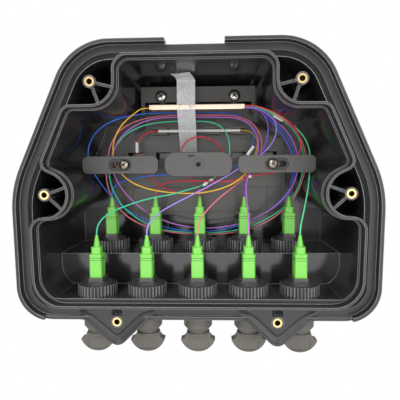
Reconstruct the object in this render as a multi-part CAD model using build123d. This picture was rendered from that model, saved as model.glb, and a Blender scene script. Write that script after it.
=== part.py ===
from build123d import *
from math import cos, pi, radians, sin, sqrt, tan
import os

# A wall-mounted fibre termination box with its cover off: a moulded base with two rows
# of five sealed adapter ports, a splice tray, a splitter and the coiled 0.9 mm fibres.
# Millimetres. +Z is up as the box hangs, the open front faces -Y, and the origin is the
# middle of the bracket hole pattern on the flat back.

# Base
DEPTH = 91.0
WALL = 3.0
DRAFT = 1.0
RIM_TOP = 80.0
RIM_BOTTOM = -79.0
SHOULDER_X = 68.4
SHOULDER_RADIUS = 33.0
WAIST_X = 104.9
WAIST_Z = -2.5
WAIST_RADIUS = 60.0
FOOT_X = 103.6
FOOT_RADIUS = 20.0
LIP = 2.0
LIP_STEP = 3.0
CHANNEL = 4.5
CHANNEL_DEPTH = 5.0
FLANGE = 4.0
LAND_EDGE = 11.0
CREST = 1.4
CREST_ABOVE_LAND = 1.0
LEDGE = 1.2
LEDGE_DEPTH = 6.5
CREST_TOP_INSET = 8.2
CREST_SIDE_INSET = 9.7
CREST_BOTTOM_INSET = 7.8
NOTCH_HALF = 16.5
NOTCH_DEPTH = 2.4

# Cover screw bosses with their brass inserts
BOSS = 7.2
BOSS_CLEAR = 13.4
BOSS_TOP = (58.8, 57.3)
BOSS_MIDDLE = (86.5, -5.9)
BOSS_TAB = (46.3, -79.8)
INSERT = 5.3
INSERT_LENGTH = 10.0
INSERT_BORE = 3.3
POCKET_DEPTH = 58.0
RIB = 1.6
TAB_HALF = 17.5
TAB_DROP = 16.2

# Ports
PORTS_PER_ROW = 5
PORT_PITCH = 31.0
FRONT_ROW_IN = 19.0
ROW_GAP = 39.4
STEP_HEIGHT = 20.6
STEP_IN = 39.5
FLOOR_ABOVE_RIM = 11.2
PORT_BODY = 18.0
PORT_CLEAR = 0.2
NUT = 23.8
NUT_HEIGHT = 6.6
NUT_RIDGES = 34
NUT_RIDGE = 0.6
SEAL = 19.4
SEAL_HEIGHT = 1.0
ADAPTER_FLANGE = 3.0
NOSE = 14.6
NOSE_LENGTH = 11.0
COLLAR = 16.9
COLLAR_HEIGHT = 1.4
SOCKET = (7.8, 9.2)
SOCKET_WALL = 1.6
PLUG_START = 10.5
PLUG = (7.5, 9.0)
PLUG_IN = 7.0
PLUG_HEIGHT = 14.3
GRIP = 6.1
GRIP_HEIGHT = 4.2
BOOT_WIDE = 4.2
BOOT_TIP = 1.8
BOOT_HEIGHT = 6.9

# Dust caps
CAP = 17.4
CAP_BORE = 15.2
CAP_GAP = 0.6
CAP_STRAIGHT = 11.8
CAP_TAPER = 2.4
CAP_GROOVE = 12.0
CAP_GROOVE_HEIGHT = 1.7
CAP_NECK = 13.7
PADDLE = 20.9
PADDLE_THICK = 6.4
PADDLE_SHOULDER = 4.2
PADDLE_DROP = 7.4
PADDLE_RECESS = 0.5
PADDLE_BORDER = 1.6

# Tray and what it carries
TRAY_X = -0.9
TRAY_Y = -12.0
TRAY = 2.0
TRAY_HALF = 63.5
TRAY_BOTTOM = -26.0
TRAY_TOP = 53.5
TRAY_NECK_HALF = 39.5
TRAY_NECK_Z = 38.0
BAR_Y = -30.0
BAR = (79.0, 54.6, 65.0, 3.0)
ARM_Y = -52.0
ARM = (49.6, 11.2, 3.0)
ARM_CORNER = 3.5
ARM_Z = 11.2
ARM_MIDDLE_X = -0.2
ARM_SCREW_X = 48.6
ARM_SHIFT = 2.4
ARM_SLOT = (15.6, 8.0)
ARM_SLOT_DEPTH = 1.2
SLOT_THROUGH = (12.6, 4.0)
PILLAR = 9.0
SCREW = 3.4
SCREW_HEAD = 6.4
SCREW_HEAD_HEIGHT = 2.4
SCREW_LENGTH = 14.0
TRAY_SCREW_X = 25.3
TRAY_SCREW_Z = 58.3
TRAY_SCREW = 4.0
TRAY_SCREW_HEAD = 8.0
TRAY_SCREW_LENGTH = 20.0
TRAY_SCREW_HEAD_HEIGHT = 3.0
RETAINER = (44.3, 16.1, 3.0)
RETAINER_CORNER = 7.0
RETAINER_HOLE = 4.0
RETAINER_RING = 8.0
SPLITTER = (60.0, 7.0, 4.0)
SPLITTER_AT = (-1.0, -42.4, 49.0)
SPLITTER_BOOT = 1.3
SLEEVE = 2.3
SLEEVE_LENGTH = 59.0
SLEEVE_AT = (-0.6, -19.6, 35.6)
COMB_GAP = 0.3
TAPE = (12.0, 0.2)
TAPE_X = -8.0

# Bracket holes in the back
BRACKET_SPACING = (60.0, 70.0)
BRACKET_HOLE = 3.4
BRACKET_HOLE_DEPTH = 7.0
BRACKET_BOSS = 9.0

# Fibres: each route between its two ends, listed from the connector or the splitter
FIBRE = 0.9
FIBRE_SIDES = 6
FIBRE_PITCH = 1.2
FIBRE_EXIT = 4.5
FIBRE_STRAIGHT = 6.7
SPLITTER_SLOTS = {
    "pigtail_2": (-2, -1), "pigtail_9": (-1, -1), "pigtail_10": (0, -1), "pigtail_4": (1, -1),
    "pigtail_7": (-2, 1), "pigtail_5": (-1, 1), "pigtail_3": (0, 1), "pigtail_1": (1, 1),
    "pigtail_6": (2, 1),
}
ROUTES = {
    "pigtail_1": [
        (-59.6, -69, -22.2), (-54.8, -64, -18.4), (-47.7, -58.5, -15.5), (-38.3, -53, -12.4),
        (-28, -49, -10.1), (-18.1, -46, -8.7), (-8.1, -43, -5.9), (2.3, -41, -3.1),
        (11.4, -39, 2.6), (17.6, -38.7, 9.4), (20.8, -38.7, 16.8), (20.9, -36.4, 25),
        (19.1, -34, 32.6), (14.3, -32.3, 38.3), (6.1, -31.7, 41), (-5.2, -28.7, 41.4),
        (-17.8, -28.7, 41.6), (-30.1, -28.9, 40.8), (-40.9, -29.7, 38.5), (-51.2, -31.6, 33.1),
        (-58.4, -34.7, 24.5), (-61.5, -37.7, 14.8), (-62.3, -37.7, 5.2), (-61.2, -36.5, -3.2),
        (-58.5, -32, -12.6), (-53.1, -25.3, -21.8), (-43.2, -24.1, -29.3), (-30.9, -24, -35.2),
        (-15, -22.5, -37.7), (2.5, -22.5, -38.6), (20, -22.5, -37.6), (35.8, -24.1, -33.9),
        (49.3, -24.2, -27.3), (59.4, -26, -20), (65.3, -29.5, -11.9), (68.5, -35.7, -3.3),
        (70.1, -38.7, 6.3), (70.3, -38.7, 16.4), (69.1, -35.9, 25.9), (64.8, -33.4, 34.2),
        (57.1, -39, 39.6), (49.3, -42, 43.2), (42.4, -41.5, 47),
    ],
    "pigtail_2": [
        (-28.5, -68.5, -22.7), (-23.9, -63, -18.6), (-16.3, -57, -14.4), (-6.2, -52.5, -9.6),
        (4.5, -50, -4.3), (14.6, -48.5, 1.2), (23.9, -47.6, 6.7), (33.1, -47.2, 12.2),
        (41.6, -47, 17.4), (48.4, -45, 24.2), (51.9, -43, 32.2), (51, -42, 39.8),
        (44.6, -43, 45.1),
    ],
    "pigtail_3": [
        (1.8, -68.5, -22.4), (5.4, -62.5, -17.8), (11.1, -56, -12.4), (18, -49, -7.4),
        (25.9, -41, -2.1), (33, -36, 3.8), (38.5, -35.2, 10.3), (41.8, -36, 17.4),
        (43.2, -35.5, 24.8), (41.3, -33.5, 33.1), (36.1, -31, 40.2), (27.5, -30.7, 44.1),
        (15.8, -30.7, 45.3), (2.6, -30.7, 45.4), (-10.8, -27.7, 46), (-24.2, -27.7, 45.7),
        (-36.9, -27.7, 44.2), (-48.3, -27.9, 41), (-57.2, -30.1, 34.8), (-61.9, -33.2, 25.9),
        (-63.5, -36.7, 15.8), (-64.7, -36.7, 5.8), (-64.8, -33, -3.7), (-62.7, -28.4, -13.2),
        (-57.7, -24.1, -22.3), (-48.9, -23.1, -29.4), (-36.9, -23, -34.8), (-22.3, -23, -37.8),
        (-6.3, -21.5, -39.5), (11.3, -21.5, -39.6), (28.7, -22, -37.7), (43.8, -23.1, -32.6),
        (55.7, -24.4, -25.2), (64, -29.2, -15.8), (69.2, -33.9, -5.4), (71.7, -37.7, 5.6),
        (72.2, -37.7, 16.4), (70.4, -34.7, 26.6), (64.6, -36, 35), (56.3, -43.5, 40.1),
        (48.7, -46.5, 43.8), (42.5, -44.2, 47.4),
    ],
    "pigtail_4": [
        (31.1, -69, -22.4), (31.3, -63.5, -17.8), (31.1, -57.5, -12.3), (30.7, -52, -5.9),
        (31.8, -46, 1.3), (35, -44.5, 8.9), (38.7, -44, 16.5), (40.2, -41.5, 24.5),
        (38.8, -37.5, 32.5), (34.2, -33.5, 39.3), (26.1, -32, 43.1), (14.4, -33.4, 43.6),
        (2, -33.4, 43.7), (-10.6, -30.4, 44.2), (-23.2, -30.4, 44.2), (-35.1, -30.4, 42.8),
        (-45.2, -31.3, 38.7), (-53.6, -33.6, 32), (-58.3, -36.8, 23.3), (-59.7, -39.4, 14),
        (-58.8, -39.4, 4.8), (-55, -35.5, -4), (-49.7, -31.6, -12), (-42.4, -27.9, -19.8),
        (-31.9, -25.9, -26.6), (-18.3, -25.8, -31.7), (-3.1, -25.7, -34.3), (12, -25.8, -34.3),
        (27, -25.8, -31.8), (40.6, -26.1, -26.7), (51.4, -29.6, -20), (59.3, -34, -11.6),
        (64.4, -37.7, -2.5), (66.4, -40.4, 7), (66.3, -40.4, 16.7), (64.1, -37.6, 25.8),
        (59.1, -35.1, 34.1), (52.2, -33.4, 40.8), (44.5, -38, 45.3),
    ],
    "pigtail_5": [
        (64.3, -68, -21.1), (66.7, -64, -13.2), (69.2, -59.5, -4.8), (71.6, -51.2, 1.9),
        (73.6, -45, 9), (73.7, -44, 18.5), (71.2, -42, 27.2), (65.8, -42, 34.1),
        (58.2, -46, 39.3), (50, -49, 43.1), (42.6, -45.8, 46.9),
    ],
    "pigtail_6": [
        (-58.5, -34.2, -2.1), (-50.8, -37, 0.7), (-40.5, -39.5, 3), (-30.1, -40, 4.3),
        (-20, -38.5, 4.5), (-9.1, -37, 3.9), (1.8, -36, 3.8), (12.1, -36, 5),
        (21.7, -36, 8), (29.6, -36, 13.4), (35.1, -35, 20.5), (37.9, -32.5, 28.8),
        (36.9, -30.1, 36.9), (31.4, -29, 43.2), (22.7, -29, 46.3), (11.6, -29, 47.2),
        (-0.3, -26, 47.7), (-12.3, -26, 47.9), (-24.1, -28.5, 47.5), (-35.3, -33, 46.8),
        (-45.4, -38.5, 44.8), (-53.7, -47, 41.5), (-62.9, -45.5, 37.8), (-70.9, -41, 32.3),
        (-75.7, -39, 24.7), (-76.1, -40, 16.2), (-73.1, -40.5, 7.3), (-68.5, -37.5, -1),
        (-65, -27.5, -10), (-57.3, -24, -18.3), (-47.2, -22, -25.5), (-34.9, -21.4, -31.5),
        (-21, -21.3, -35.6), (-5.6, -21.3, -37.5), (10.5, -21.3, -37.2), (25.8, -21.4, -34.2),
        (39.6, -21.5, -28.4), (50.9, -25.2, -20.4), (59.9, -28.5, -11.3), (65, -30.5, -1.4),
        (66.5, -35, 8.7), (65.6, -35.6, 18.5), (62.2, -32.8, 27.5), (56.4, -30.4, 35.6),
        (49.2, -33, 42.5), (42.2, -37.5, 47.2),
    ],
    "pigtail_7": [
        (-27.2, -34.5, -2.4), (-20.2, -37, -0.6), (-11.4, -40, 0.1), (-2, -42.5, 0.3),
        (7.4, -43.5, -0.2), (16.1, -43.5, -0.6), (24.8, -43, 0.6), (33.2, -42, 2.9),
        (41.9, -42, 4.3), (50.9, -42, 5.1), (58.8, -42, 8.1), (65.1, -42, 13.7),
        (68.4, -40.5, 21.3), (67.6, -41, 29.2), (62.8, -45, 35.8), (56.2, -49.5, 40.2),
        (48.9, -52, 43.9), (42.3, -48.4, 47.3),
    ],
    "pigtail_8": [
        (-3.6, -32.6, -1.9), (-6.7, -32.6, 3.7), (-10.1, -32.5, 9.9), (-13, -32.5, 16.2),
        (-12.4, -32.5, 23.1), (-7.7, -34, 28.1), (-0.8, -34.5, 30.4), (6.7, -32.5, 29.4),
        (12.9, -30.5, 25.4), (16.7, -31, 19.1), (17.4, -32.5, 11.5), (14.6, -33, 3.9),
        (9, -33, -2.7), (1.6, -31, -7.3), (-7, -30, -9.3), (-15.4, -30, -8.7),
        (-23.9, -30, -5.8), (-31.7, -30, -1.2), (-37.6, -30, 5.2), (-41.9, -29, 13.3),
        (-44.6, -27, 20.5), (-45.1, -24, 27.4), (-41.5, -21, 32.5), (-36.1, -19.6, 35.6),
    ],
    "pigtail_9": [
        (31.7, -35.4, -2), (33.5, -38.8, 3.8), (36.7, -40.5, 10.2), (41, -41, 16.9),
        (44.6, -41, 24.2), (46.6, -40.7, 32.1), (46, -41, 39.8), (41.9, -42.4, 45.3),
    ],
    "pigtail_10": [
        (62.9, -34.5, -2.3), (63.7, -36.5, 3.3), (64.1, -38.5, 9.7), (62.5, -41.4, 17),
        (59.8, -39.1, 24.5), (55.5, -36.7, 32), (49.9, -37, 39.1), (43.2, -40.5, 44.7),
    ],
    "splitter_lead": [
        (-38, -42.3, 49), (-42.9, -42.2, 45.7), (-49.7, -42.5, 40.3), (-55.3, -41.5, 33.5),
        (-58.1, -42.5, 24.7), (-57.8, -43.5, 15.3), (-53.8, -44, 6.9), (-47.3, -43.5, 0.4),
        (-38.7, -42.5, -3.9), (-28.6, -42, -6.5), (-17.7, -42, -7.9), (-6.8, -43, -8.4),
        (4, -45, -7.6), (14.1, -45.5, -5.4), (23.4, -45.5, -1.5), (30.7, -44.5, 4),
        (34.6, -41.5, 9.9), (37.9, -36.5, 16.4), (40.1, -31, 23), (40.8, -25.8, 29.6),
        (35, -20.2, 35.8),
    ],
}

FRONT_ROW_Y = -DEPTH + FRONT_ROW_IN
BACK_ROW_Y = FRONT_ROW_Y + ROW_GAP
STEP_Y = -DEPTH + STEP_IN
LOWER_FLOOR = RIM_BOTTOM + FLOOR_ABOVE_RIM
UPPER_FLOOR = LOWER_FLOOR + STEP_HEIGHT
CHANNEL_Y = -DEPTH + CHANNEL_DEPTH
FLANGE_BACK = CHANNEL_Y + FLANGE
LOW_LIP_Y = -DEPTH + LIP_STEP
CREST_Y = -DEPTH + 0.5
LAND_Y = CREST_Y + CREST_ABOVE_LAND
LEDGE_Y = CREST_Y + LEDGE_DEPTH
HALF_DRAFT = tan(radians(DRAFT))

parts = {}


def side_line(first, second, distance):
    """Point and direction of a side moved to its left, which is inward."""
    run = Vector(second[0] - first[0], second[1] - first[1]).normalized()
    shift = Vector(-run.Y, run.X) * distance
    return Vector(first[0], first[1]) + shift, run


def meeting(one, other):
    """Where two such lines cross."""
    (a, u), (b, v) = one, other
    cross = u.X * v.Y - u.Y * v.X
    gap = b - a
    along = (gap.X * v.Y - gap.Y * v.X) / cross
    return a + u * along


def inset(corners, distances):
    """The outline with side i, from corner i to the next, moved inward by distances[i]."""
    count = len(corners)
    lines = []
    for i in range(count):
        lines.append(side_line(corners[i], corners[(i + 1) % count], distances[i]))
    moved = []
    for i in range(count):
        before, after = lines[i - 1], lines[i]
        point = meeting(before, after)
        turn = before[1].X * after[1].Y - before[1].Y * after[1].X
        shift = (distances[i - 1] + distances[i]) / 2
        radius = corners[i][2] - shift if turn > 0 else corners[i][2] + shift
        moved.append((point.X, point.Y, radius))
    return moved


def even_inset(corners, distance):
    return inset(corners, [distance] * len(corners))


def outline(corners, y):
    """A face at depth y from (x, z, radius) corners, each rounded by its own arc."""
    count = len(corners)
    arcs = []
    for i in range(count):
        x, z, radius = corners[i]
        here = Vector(x, y, z)
        before = Vector(corners[i - 1][0], y, corners[i - 1][1])
        following = corners[(i + 1) % count]
        after = Vector(following[0], y, following[1])
        into = (here - before).normalized()
        out = (after - here).normalized()
        half_turn = radians(into.get_angle(out)) / 2
        cut = radius * tan(half_turn)
        bulge = radius / cos(half_turn) - radius
        middle = here + (out - into).normalized() * bulge
        arcs.append((here - into * cut, middle, here + out * cut))
    edges = []
    for i in range(count):
        start, middle, end = arcs[i]
        if corners[i][2] > 0:
            edges.append(Edge.make_three_point_arc(start, middle, end))
        following = arcs[(i + 1) % count][0]
        if (following - end).length > 0.001:
            edges.append(Edge.make_line(end, following))
    return Face(Wire(edges))


def slab(face, y):
    """The face carried straight back or forward to depth y."""
    return extrude(face, amount=y - face.center().Y, dir=(0, 1, 0))


def mirrored(half):
    """A closed outline from its right half, listed upwards."""
    left = [(-x, z, radius) for x, z, radius in reversed(half)]
    return half + left


def post(x, z, diameter, start, end):
    """A round pin along Y."""
    pin = Cylinder(diameter / 2, abs(end - start), rotation=(90, 0, 0))
    return Pos(x, (start + end) / 2, z) * pin


def box_between(low, high):
    size = [b - a for a, b in zip(low, high)]
    middle = [(a + b) / 2 for a, b in zip(low, high)]
    return Pos(*middle) * Box(*size)


RIM = mirrored([
    (FOOT_X, RIM_BOTTOM, FOOT_RADIUS),
    (WAIST_X, WAIST_Z, WAIST_RADIUS),
    (SHOULDER_X, RIM_TOP, SHOULDER_RADIUS),
])


def crest_path():
    """Centre line of the sealing crest, which runs in round each cover screw boss."""
    top_x, top_z = BOSS_TOP
    mid_x, mid_z = BOSS_MIDDLE
    reach = BOSS_CLEAR - 0.05
    slant = side_line(RIM[1], RIM[2], CREST_SIDE_INSET)
    under_top = meeting(slant, (Vector(0, top_z - BOSS_CLEAR), Vector(1, 0)))
    lead = radians(115)
    leaving = Vector(mid_x + BOSS_CLEAR * cos(lead), mid_z + BOSS_CLEAR * sin(lead))
    outward = Vector(sin(lead), -cos(lead))
    over_middle = meeting(slant, (leaving, outward))
    inner_x = mid_x - BOSS_CLEAR
    fold = meeting((leaving, outward), (Vector(inner_x, 0), Vector(0, 1)))
    side = side_line(RIM[0], RIM[1], CREST_SIDE_INSET)
    bottom = RIM_BOTTOM + CREST_BOTTOM_INSET
    foot = meeting(side, (Vector(0, bottom), Vector(1, 0)))
    under_middle = meeting(side, (Vector(0, mid_z - BOSS_CLEAR), Vector(1, 0)))
    return mirrored([
        (foot.X, foot.Y, FOOT_RADIUS - 3.5),
        (under_middle.X, under_middle.Y, 7.5),
        (inner_x, mid_z - BOSS_CLEAR, reach),
        (fold.X, fold.Y, reach),
        (over_middle.X, over_middle.Y, 5.0),
        (under_top.X, under_top.Y, 6.0),
        (top_x - BOSS_CLEAR, top_z - BOSS_CLEAR, reach),
        (top_x - BOSS_CLEAR, RIM_TOP - CREST_TOP_INSET, 8.0),
    ])


CREST_LINE = crest_path()
CAVITY = even_inset(CREST_LINE, CREST / 2 + LEDGE)


def drafted(corners, front, back, bottom_sides):
    """A solid between two depths that narrows to the back, with a level underside."""
    shrink = (back - front) * HALF_DRAFT
    distances = [0.0 if i in bottom_sides else shrink for i in range(len(corners))]
    ends = [outline(corners, front), outline(inset(corners, distances), back)]
    return loft(ends, ruled=True)


def port_places():
    """The ports in order, front row from the left and then back row: x, y and floor z."""
    places = []
    for y, z in ((FRONT_ROW_Y, LOWER_FLOOR), (BACK_ROW_Y, UPPER_FLOOR)):
        for i in range(PORTS_PER_ROW):
            x = (i - (PORTS_PER_ROW - 1) / 2) * PORT_PITCH
            places.append((x, y, z))
    return places


def tab_corners(side):
    """One of the two pointed ears under the rim, listed anticlockwise."""
    x, z = BOSS_TAB
    top = RIM_BOTTOM + 6
    ear = [
        (x - TAB_HALF, RIM_BOTTOM, 0),
        (x, RIM_BOTTOM - TAB_DROP - 1.0, 6.0),
        (x + TAB_HALF + 1.5, RIM_BOTTOM, 0),
        (x + TAB_HALF + 1.5, top, 0),
        (x - TAB_HALF, top, 0),
    ]
    if side > 0:
        return ear
    return [(-px, pz, r) for px, pz, r in reversed(ear)]


def make_housing():
    shell_front = FLANGE_BACK - 2.0
    shell_insets = [8.4, 8.4, 7.0, 8.4, 8.4, 7.4]
    shell = drafted(inset(RIM, shell_insets), shell_front, 0.0, (5,))
    shell = fillet(shell.faces().sort_by(Axis.Y)[-1].edges(), 5.0)

    body = shell + slab(outline(RIM, CHANNEL_Y), FLANGE_BACK)
    land_foot = outline(even_inset(RIM, LIP + CHANNEL), CHANNEL_Y)
    land_top = outline(even_inset(RIM, LAND_EDGE), LAND_Y)
    body += loft([land_foot, land_top], ruled=True)

    low_lip = outline(RIM, LOW_LIP_Y) - outline(even_inset(RIM, LIP), LOW_LIP_Y)
    body += extrude(low_lip, amount=CHANNEL_Y - LOW_LIP_Y, dir=(0, 1, 0))
    tall_lip = outline(RIM, -DEPTH) - outline(even_inset(RIM, LIP), -DEPTH)
    tall_lip = extrude(tall_lip, amount=LIP_STEP, dir=(0, 1, 0))
    lip_end = FOOT_X - FOOT_RADIUS + 5.0
    tall_lip -= box_between(
        (-lip_end, -DEPTH - 1, RIM_BOTTOM - 1), (lip_end, LOW_LIP_Y, RIM_BOTTOM + 6)
    )
    body += tall_lip

    for side in (-1, 1):
        ear = slab(outline(tab_corners(side), LOW_LIP_Y), FLANGE_BACK)
        gap = even_inset(RIM, LIP)
        ear -= slab(outline(gap, LOW_LIP_Y - 1), CHANNEL_Y)
        body += ear
        x, z = side * BOSS_TAB[0], BOSS_TAB[1]
        body += post(x, z, BOSS, LAND_Y, FLANGE_BACK)
        body += post(x, z, BOSS + 1.8, FLANGE_BACK - 1, FLANGE_BACK + 9)

    crest = outline(even_inset(CREST_LINE, -CREST / 2), CREST_Y)
    body += slab(crest, shell_front + 1)

    pocket_outer = outline(even_inset(RIM, LAND_EDGE), -DEPTH - 1)
    pocket_inner = outline(even_inset(CREST_LINE, -CREST / 2), -DEPTH - 1)
    pockets = extrude(pocket_outer - pocket_inner, amount=POCKET_DEPTH, dir=(0, 1, 0))
    pocket_floor = -DEPTH - 1 + POCKET_DEPTH
    keep = []
    for side in (-1, 1):
        for (x, z), bearings in ((BOSS_TOP, (193, 250)), (BOSS_MIDDLE, (160, 223))):
            keep.append(post(side * x, z, BOSS, LAND_Y, pocket_floor + 1))
            for bearing in bearings:
                reach = BOSS_CLEAR - 0.2
                length = reach - BOSS / 2 + 1.0
                middle = BOSS / 2 - 1.0 + length / 2
                angle = radians(bearing)
                rib = Box(length, pocket_floor + 1 - LOW_LIP_Y, RIB)
                rib = Rot(0, -side * bearing, 0) * rib
                rib_x = side * (x + middle * cos(angle))
                rib_z = z + middle * sin(angle)
                rib_y = (pocket_floor + 1 + LOW_LIP_Y) / 2
                keep.append(Pos(rib_x, rib_y, rib_z) * rib)
    body -= pockets
    body += keep

    body -= slab(outline(even_inset(CREST_LINE, CREST / 2), -DEPTH - 1), LEDGE_Y)
    floor_sides = (len(CAVITY) - 1,)
    cavity = drafted(CAVITY, LEDGE_Y - 0.01, -WALL, floor_sides)
    front_low = box_between((-200, -200, -200), (200, STEP_Y, LOWER_FLOOR))
    back_low = box_between((-200, STEP_Y, -200), (200, 10, UPPER_FLOOR))
    body -= cavity - front_low - back_low

    under_step = box_between(
        (-200, STEP_Y + WALL, -200), (200, 1, UPPER_FLOOR - WALL)
    )
    body -= under_step
    under_rim = box_between(
        (-200, FLANGE_BACK, -200), (200, 1, LOWER_FLOOR - WALL)
    )
    tab_bosses = [
        post(side * BOSS_TAB[0], BOSS_TAB[1], BOSS + 1.8, FLANGE_BACK - 1, FLANGE_BACK + 9)
        for side in (-1, 1)
    ]
    body -= under_rim
    body += tab_bosses

    body -= box_between(
        (-NOTCH_HALF, -DEPTH - 1, RIM_TOP - NOTCH_DEPTH), (NOTCH_HALF, FLANGE_BACK + 1, RIM_TOP + 1)
    )
    for x, y, z in port_places():
        hole = Cylinder(PORT_BODY / 2 + PORT_CLEAR, 4 * WALL)
        body -= Pos(x, y, z) * hole
    for x, z in insert_places():
        body -= post(x, z, INSERT, LAND_Y - 1, LAND_Y + INSERT_LENGTH)
        body -= post(x, z, INSERT_BORE + 0.4, LAND_Y, LAND_Y + INSERT_LENGTH + 3)
    for side in (-1, 1):
        x, z = side * BOSS_TAB[0], RIM_BOTTOM + 5.0
        body -= box_between((x - 3, LOW_LIP_Y - 1, z - 2), (x + 3, CHANNEL_Y + 2.5, z + 2))

    for x in (-TRAY_SCREW_X + TRAY_X, TRAY_SCREW_X + TRAY_X):
        tower = post(x, TRAY_SCREW_Z, TRAY_SCREW_HEAD, BAR_Y + 3.0, -WALL + 0.5)
        body += tower - post(x, TRAY_SCREW_Z, TRAY_SCREW + 0.1, BAR_Y, -WALL - 2)
    for x, z in bracket_places():
        body += post(x, z, BRACKET_BOSS, -WALL - 5.0, -WALL + 0.5)
        body -= post(x, z, BRACKET_HOLE, -BRACKET_HOLE_DEPTH, 1)
    return body


def insert_places():
    places = []
    for x, z in (BOSS_TOP, BOSS_MIDDLE, BOSS_TAB):
        places += [(-x, z), (x, z)]
    return places


def bracket_places():
    across, up = BRACKET_SPACING
    return [(sx * across / 2, sz * up / 2) for sx in (-1, 1) for sz in (-1, 1)]

def round_bar(size, height, y, thickness):
    """A rounded rectangle across X and Z, standing on depth y towards the front."""
    shape = RectangleRounded(size[0], size[1], height)
    return Pos(0, y, 0) * Rot(90, 0, 0) * extrude(shape, amount=thickness)


def make_insert():
    tube = post(0, 0, INSERT, 0, INSERT_LENGTH)
    return tube - post(0, 0, INSERT_BORE, -1, INSERT_LENGTH + 1)


def make_nut():
    """Hand nut with straight knurling, its lower face on the floor."""
    corners = []
    for i in range(2 * NUT_RIDGES):
        radius = NUT / 2 - NUT_RIDGE * (i % 2)
        angle = i * pi / NUT_RIDGES
        corners.append((radius * cos(angle), radius * sin(angle)))
    ridged = extrude(make_face(Polyline(*corners, close=True)), amount=NUT_HEIGHT)
    return ridged - Cylinder(PORT_BODY / 2 + PORT_CLEAR / 2, 3 * NUT_HEIGHT)


def standing(diameter, low, high):
    """A round bar along Z between two heights."""
    return Pos(0, 0, (low + high) / 2) * Cylinder(diameter / 2, high - low)


def make_seal():
    top = -WALL
    ring = standing(SEAL, top - SEAL_HEIGHT, top)
    return ring - standing(PORT_BODY + PORT_CLEAR, top - 2 * SEAL_HEIGHT, top + 1)


def make_adapter():
    """Through adapter: outer flange and nose below, square socket above the nut."""
    under = -WALL - SEAL_HEIGHT
    flange_low = under - ADAPTER_FLANGE
    nose_low = flange_low - NOSE_LENGTH
    body = standing(PORT_BODY, under, NUT_HEIGHT)
    body += standing(SEAL, flange_low, under)
    body += standing(NOSE, nose_low, flange_low)
    body -= standing(NOSE - 3.6, nose_low - 1, nose_low + 8)
    body += standing(COLLAR, NUT_HEIGHT, NUT_HEIGHT + COLLAR_HEIGHT)
    neck = RectangleRounded(SOCKET[0] + 2 * SOCKET_WALL, SOCKET[1] + 2 * SOCKET_WALL, 2.4)
    body += Pos(0, 0, NUT_HEIGHT) * extrude(neck, amount=PLUG_START - NUT_HEIGHT)
    socket = box_between(
        (-SOCKET[0] / 2, -SOCKET[1] / 2, PLUG_START - PLUG_IN),
        (SOCKET[0] / 2, SOCKET[1] / 2, PLUG_START + 1),
    )
    body -= socket
    for side in (-1, 1):
        hole = standing(1.6, NUT_HEIGHT + 0.4, NUT_HEIGHT + COLLAR_HEIGHT + 1)
        body -= Pos(side * (COLLAR / 2 - 1.4), 0, 0) * hole
    return body


def make_cap():
    """Dust cap: a sleeve over the nose, a grooved neck and a flat round paddle."""
    top = -WALL - SEAL_HEIGHT - ADAPTER_FLANGE - CAP_GAP
    straight = top - CAP_STRAIGHT
    taper = straight - CAP_TAPER
    groove = taper - CAP_GROOVE_HEIGHT
    bore = -WALL - SEAL_HEIGHT - ADAPTER_FLANGE - NOSE_LENGTH - 0.4
    side = Polyline(
        (0, bore), (CAP_BORE / 2, bore), (CAP_BORE / 2, top), (CAP / 2, top),
        (CAP / 2, straight), (CAP_NECK / 2, taper), (CAP_GROOVE / 2, taper),
        (CAP_GROOVE / 2, groove), (CAP_NECK / 2, groove), (CAP_NECK / 2, groove - 1.2),
        (0, groove - 1.2), close=True,
    )
    cap = revolve(Plane.XZ * make_face(side), Axis.Z)
    start = groove - 0.6
    shoulder = start - PADDLE_SHOULDER
    low = shoulder - PADDLE_DROP
    cap += paddle_blade(start, shoulder, low)
    middle = (shoulder + low) / 2 + 0.6
    for face in (-1, 1):
        dish = RectangleRounded(PADDLE - 5 * PADDLE_BORDER, PADDLE_DROP, 2.5)
        dish = Plane.XZ * extrude(dish, amount=PADDLE_RECESS, both=True)
        cap -= Pos(0, face * PADDLE_THICK / 2, middle + 0.6) * dish
    return cap


def paddle_blade(start, shoulder, low):
    """The paddle's outline: concave shoulders that open into a round lower edge."""
    half = PADDLE / 2
    neck = CAP_NECK / 2
    flare = ((neck + half) / 2 - 0.9, (start + shoulder) / 2 - 0.5)
    edges = [
        Line((-neck, start), (neck, start)),
        ThreePointArc((neck, start), flare, (half, shoulder)),
        ThreePointArc((half, shoulder), (0, low), (-half, shoulder)),
        ThreePointArc((-half, shoulder), (-flare[0], flare[1]), (-neck, start)),
    ]
    return extrude(Plane.XZ * make_face(edges), amount=PADDLE_THICK / 2, both=True)


def make_connector():
    """Plug grip, strain collar and tapered boot, standing in the adapter's socket."""
    low = PLUG_START - PLUG_IN
    shoulder = PLUG_START + PLUG_HEIGHT
    grip = box_between((-PLUG[0] / 2, -PLUG[1] / 2, low), (PLUG[0] / 2, PLUG[1] / 2, shoulder))
    grip = chamfer(grip.edges().filter_by(Axis.Z), 0.6)
    for i in range(4):
        z = PLUG_START + 4.0 + 2.4 * i
        for side in (-1, 1):
            notch = Box(1.0, 5.4, 1.0)
            grip -= Pos(side * PLUG[0] / 2, 0, z) * notch
    collar = RectangleRounded(GRIP, GRIP + 0.8, 1.6)
    grip += Pos(0, 0, shoulder) * extrude(collar, amount=GRIP_HEIGHT)
    boot_low = shoulder + GRIP_HEIGHT
    boot = Cone(BOOT_WIDE / 2, BOOT_TIP / 2, BOOT_HEIGHT)
    return grip + Pos(0, 0, boot_low + BOOT_HEIGHT / 2) * boot


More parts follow.
